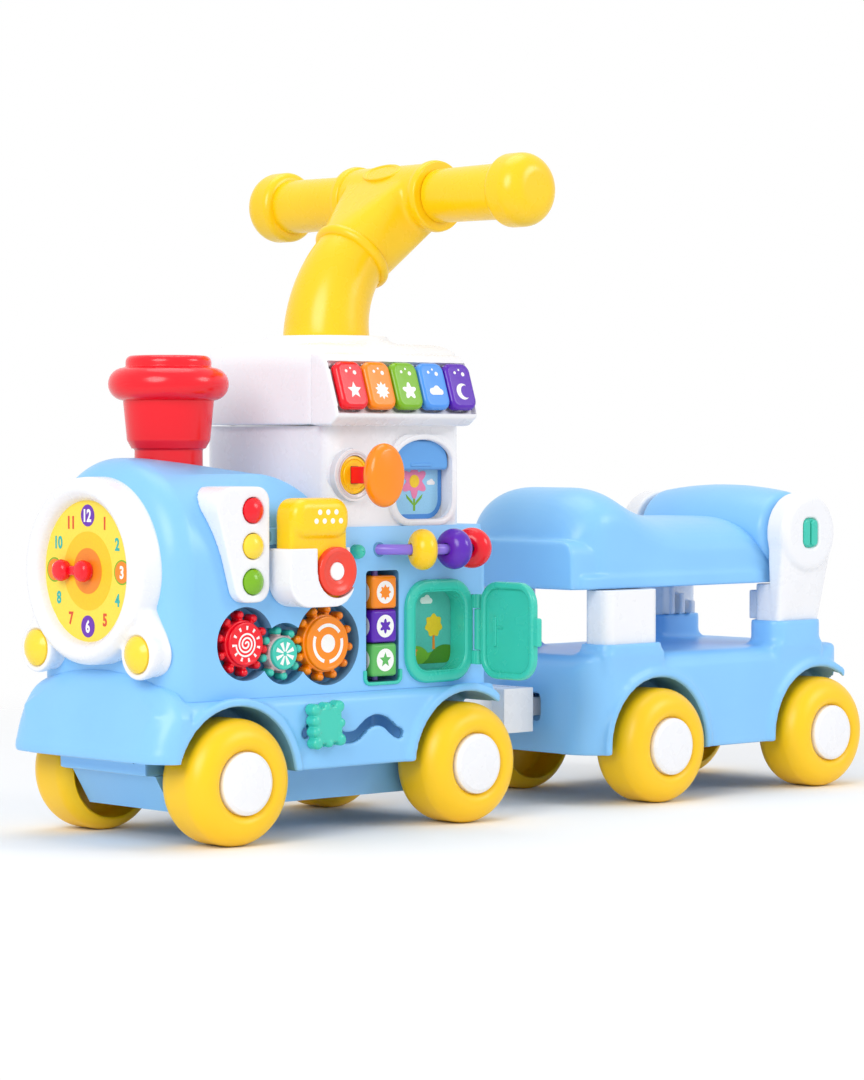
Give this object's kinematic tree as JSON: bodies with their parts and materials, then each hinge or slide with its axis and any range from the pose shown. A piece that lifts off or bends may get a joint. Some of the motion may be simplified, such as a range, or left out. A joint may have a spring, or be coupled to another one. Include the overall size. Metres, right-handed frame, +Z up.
{
  "type": "ride on train",
  "caption": "Toddler ride-on train: locomotive with a clock face, push handle and turning, pressing and sliding side activities, hitched to a wagon with a fold-up saddle seat.",
  "frame": {"origin": "on the floor, under the middle of the whole train's bounding box", "axes": "+X from the clock face to the wagon, -Y is the side with the activities, +Z up"},
  "size_m": [0.708, 0.292, 0.4731],
  "materials": {
    "blue_shell": "injection moulded, glossy",
    "white_shell": "injection moulded, glossy",
    "yellow_handle": "blow moulded, satin gloss",
    "yellow_tyre": "moulded, satin",
    "yellow_lamp": "moulded, glossy",
    "yellow_part": "moulded, glossy",
    "dial_print": "printed sheet on a moulded dial",
    "red_part": "moulded, glossy",
    "orange_part": "moulded, glossy",
    "purple_part": "moulded, glossy",
    "lavender_rod": "moulded, glossy",
    "green_part": "moulded, glossy",
    "blue_part": "moulded, glossy",
    "teal_part": "moulded, glossy",
    "picture_print": "printed card",
    "dark_plastic": "moulded, matt",
    "spring_steel": "drawn wire"
  },
  "bodies": {
    "loco": {"loco_shell": "blue_shell", "loco_skirt": "blue_shell", "loco_underframe": "blue_shell", "battery_box": "dark_plastic", "battery_cover": "blue_shell", "sound_module": "dark_plastic", "cab": "white_shell", "cab_roof": "white_shell", "handle_stem": "yellow_handle", "handle_grips": "yellow_handle", "clock_bezel": "white_shell", "clock_dial": "dial_print", "headlamps": "yellow_lamp", "traffic_panel": "white_shell", "phone_cradle": "white_shell", "teal_fittings": "teal_part", "guide_rods": "lavender_rod", "picture_cards": "picture_print", "coupler": "white_shell", "chimney_spring": "spring_steel"},
    "loco_front_wheels": {"loco_front_axle": "white_shell", "loco_front_tyres": "yellow_tyre"},
    "loco_rear_wheels": {"loco_rear_axle": "white_shell", "loco_rear_tyres": "yellow_tyre"},
    "wagon": {"wagon_chassis": "blue_shell", "front_posts": "white_shell", "rear_posts": "white_shell"},
    "wagon_front_wheels": {"wagon_front_axle": "white_shell", "wagon_front_tyres": "yellow_tyre"},
    "wagon_rear_wheels": {"wagon_rear_axle": "white_shell", "wagon_rear_tyres": "yellow_tyre"},
    "saddle": {"seat": "blue_shell", "backrest_roll": "blue_shell"},
    "left_release_button": {"left_release": "teal_part"},
    "right_release_button": {"right_release": "teal_part"},
    "chimney_button": {"chimney": "red_part"},
    "hand": {"clock_hand": "red_part"},
    "red_light_button": {"red_light": "red_part"},
    "yellow_light_button": {"yellow_light": "yellow_part"},
    "green_light_button": {"green_light": "green_part"},
    "handset": {"phone_handset": "yellow_part"},
    "gear_red": {"red_gear": "red_part"},
    "gear_teal": {"teal_gear": "teal_part"},
    "gear_orange": {"orange_gear": "orange_part"},
    "block_orange": {"orange_block": "orange_part"},
    "block_purple": {"purple_block": "purple_part"},
    "block_green": {"green_block": "green_part"},
    "bead_yellow": {"yellow_bead": "yellow_part"},
    "bead_purple": {"purple_bead": "purple_part"},
    "bead_red": {"red_bead": "red_part"},
    "turn_key": {"lock_barrel": "yellow_part", "lock_key": "orange_part"},
    "blind": {"window_blind": "blue_part"},
    "door_leaf": {"door": "teal_part"},
    "slide_knob": {"slider": "teal_part"},
    "key_red": {"red_key": "red_part"},
    "key_orange": {"orange_key": "orange_part"},
    "key_green": {"green_key": "green_part"},
    "key_blue": {"blue_key": "blue_part"},
    "key_purple": {"purple_key": "purple_part"}
  },
  "joints": [
    {"name": "loco_front_roll", "type": "hinge", "parent": "loco", "child": "loco_front_wheels", "pos_m": [-0.284, 0, 0.043], "axis": [0, 1, 0], "continuous": true},
    {"name": "loco_rear_roll", "type": "hinge", "parent": "loco", "child": "loco_rear_wheels", "pos_m": [-0.072, 0, 0.043], "axis": [0, 1, 0], "continuous": true},
    {"name": "hitch_swing", "type": "hinge", "parent": "loco", "child": "wagon", "pos_m": [0.081, 0, 0.072], "axis": [0, 0, 1], "range_deg": [-15, 15]},
    {"name": "wagon_front_roll", "type": "hinge", "parent": "wagon", "child": "wagon_front_wheels", "pos_m": [0.129, 0, 0.043], "axis": [0, 1, 0], "continuous": true},
    {"name": "wagon_rear_roll", "type": "hinge", "parent": "wagon", "child": "wagon_rear_wheels", "pos_m": [0.311, 0, 0.043], "axis": [0, 1, 0], "continuous": true},
    {"name": "seat_fold", "type": "hinge", "parent": "wagon", "child": "saddle", "pos_m": [0.291, 0, 0.1998], "axis": [0, 1, 0], "range_deg": [0, 95]},
    {"name": "left_release_press", "type": "slide", "parent": "wagon", "child": "left_release_button", "axis": [0, 1, 0], "range_m": [0, 0.004], "stiffness_N_per_m": 300, "springref_m": -0.002},
    {"name": "right_release_press", "type": "slide", "parent": "wagon", "child": "right_release_button", "axis": [0, -1, 0], "range_m": [0, 0.004], "stiffness_N_per_m": 300, "springref_m": -0.002},
    {"name": "chimney_press", "type": "slide", "parent": "loco", "child": "chimney_button", "axis": [0, 0, -1], "range_m": [0, 0.006], "stiffness_N_per_m": 400, "springref_m": -0.012, "deforming": ["chimney_spring"]},
    {"name": "clock_hand_turn", "type": "hinge", "parent": "loco", "child": "hand", "pos_m": [-0.333, 0, 0.184], "axis": [-1, 0, 0], "continuous": true},
    {"name": "red_light_press", "type": "slide", "parent": "loco", "child": "red_light_button", "axis": [0, 1, 0], "range_m": [0, 0.0025], "stiffness_N_per_m": 250, "springref_m": -0.002},
    {"name": "yellow_light_press", "type": "slide", "parent": "loco", "child": "yellow_light_button", "axis": [0, 1, 0], "range_m": [0, 0.0025], "stiffness_N_per_m": 250, "springref_m": -0.002},
    {"name": "green_light_press", "type": "slide", "parent": "loco", "child": "green_light_button", "axis": [0, 1, 0], "range_m": [0, 0.0025], "stiffness_N_per_m": 250, "springref_m": -0.002},
    {"name": "handset_lift", "type": "slide", "parent": "loco", "child": "handset", "axis": [0, 0, 1], "range_m": [0, 0.042]},
    {"name": "orange_gear_turn", "type": "hinge", "parent": "loco", "child": "gear_orange", "pos_m": [-0.19718, -0.076, 0.13253], "axis": [0, -1, 0], "continuous": true},
    {"name": "teal_gear_turn", "type": "hinge", "parent": "loco", "child": "gear_teal", "pos_m": [-0.2358, -0.076, 0.1271], "axis": [0, -1, 0], "continuous": true},
    {"name": "red_gear_turn", "type": "hinge", "parent": "loco", "child": "gear_red", "pos_m": [-0.27, -0.076, 0.135], "axis": [0, -1, 0], "continuous": true},
    {"name": "green_block_turn", "type": "hinge", "parent": "loco", "child": "block_green", "pos_m": [-0.1465, -0.0675, 0.1191], "axis": [0, 0, 1], "continuous": true},
    {"name": "purple_block_turn", "type": "hinge", "parent": "loco", "child": "block_purple", "pos_m": [-0.1465, -0.0675, 0.1427], "axis": [0, 0, 1], "continuous": true},
    {"name": "orange_block_turn", "type": "hinge", "parent": "loco", "child": "block_orange", "pos_m": [-0.1465, -0.0675, 0.1663], "axis": [0, 0, 1], "continuous": true},
    {"name": "yellow_bead_slide", "type": "hinge", "parent": "loco", "child": "bead_yellow", "pos_m": [-0.104, -0.045, 0.196], "axis": [0, 0, 1], "range_deg": [-10, 2.8]},
    {"name": "purple_bead_slide", "type": "hinge", "parent": "loco", "child": "bead_purple", "pos_m": [-0.104, -0.045, 0.196], "axis": [0, 0, 1], "range_deg": [-2.8, 2.6]},
    {"name": "red_bead_slide", "type": "hinge", "parent": "loco", "child": "bead_red", "pos_m": [-0.104, -0.045, 0.196], "axis": [0, 0, 1], "range_deg": [-2.6, 3.8]},
    {"name": "key_turn", "type": "hinge", "parent": "loco", "child": "turn_key", "pos_m": [-0.171, -0.07, 0.248], "axis": [0, 1, 0], "range_deg": [-90, 90]},
    {"name": "blind_slide", "type": "slide", "parent": "loco", "child": "blind", "axis": [0, 0, -1], "range_m": [0, 0.032]},
    {"name": "door_swing", "type": "hinge", "parent": "loco", "child": "door_leaf", "pos_m": [-0.061, -0.083, 0.1375], "axis": [0, 0, 1], "range_deg": [-90, 60]},
    {"name": "slider_swing", "type": "hinge", "parent": "loco", "child": "slide_knob", "pos_m": [-0.209, -0.083, 0.05989], "axis": [0, 1, 0], "range_deg": [-25, 38]},
    {"name": "red_key_press", "type": "slide", "parent": "loco", "child": "key_red", "axis": [0, 0.9473, -0.3204], "range_m": [0, 0.003], "stiffness_N_per_m": 300, "springref_m": -0.002},
    {"name": "orange_key_press", "type": "slide", "parent": "loco", "child": "key_orange", "axis": [0, 0.9473, -0.3204], "range_m": [0, 0.003], "stiffness_N_per_m": 300, "springref_m": -0.002},
    {"name": "green_key_press", "type": "slide", "parent": "loco", "child": "key_green", "axis": [0, 0.9473, -0.3204], "range_m": [0, 0.003], "stiffness_N_per_m": 300, "springref_m": -0.002},
    {"name": "blue_key_press", "type": "slide", "parent": "loco", "child": "key_blue", "axis": [0, 0.9473, -0.3204], "range_m": [0, 0.003], "stiffness_N_per_m": 300, "springref_m": -0.002},
    {"name": "purple_key_press", "type": "slide", "parent": "loco", "child": "key_purple", "axis": [0, 0.9473, -0.3204], "range_m": [0, 0.003], "stiffness_N_per_m": 300, "springref_m": -0.002}
  ],
  "couplings": [
    {"joint": "teal_gear_turn", "follows": "orange_gear_turn", "ratio": -1.5},
    {"joint": "red_gear_turn", "follows": "orange_gear_turn", "ratio": 1.2}
  ]
}
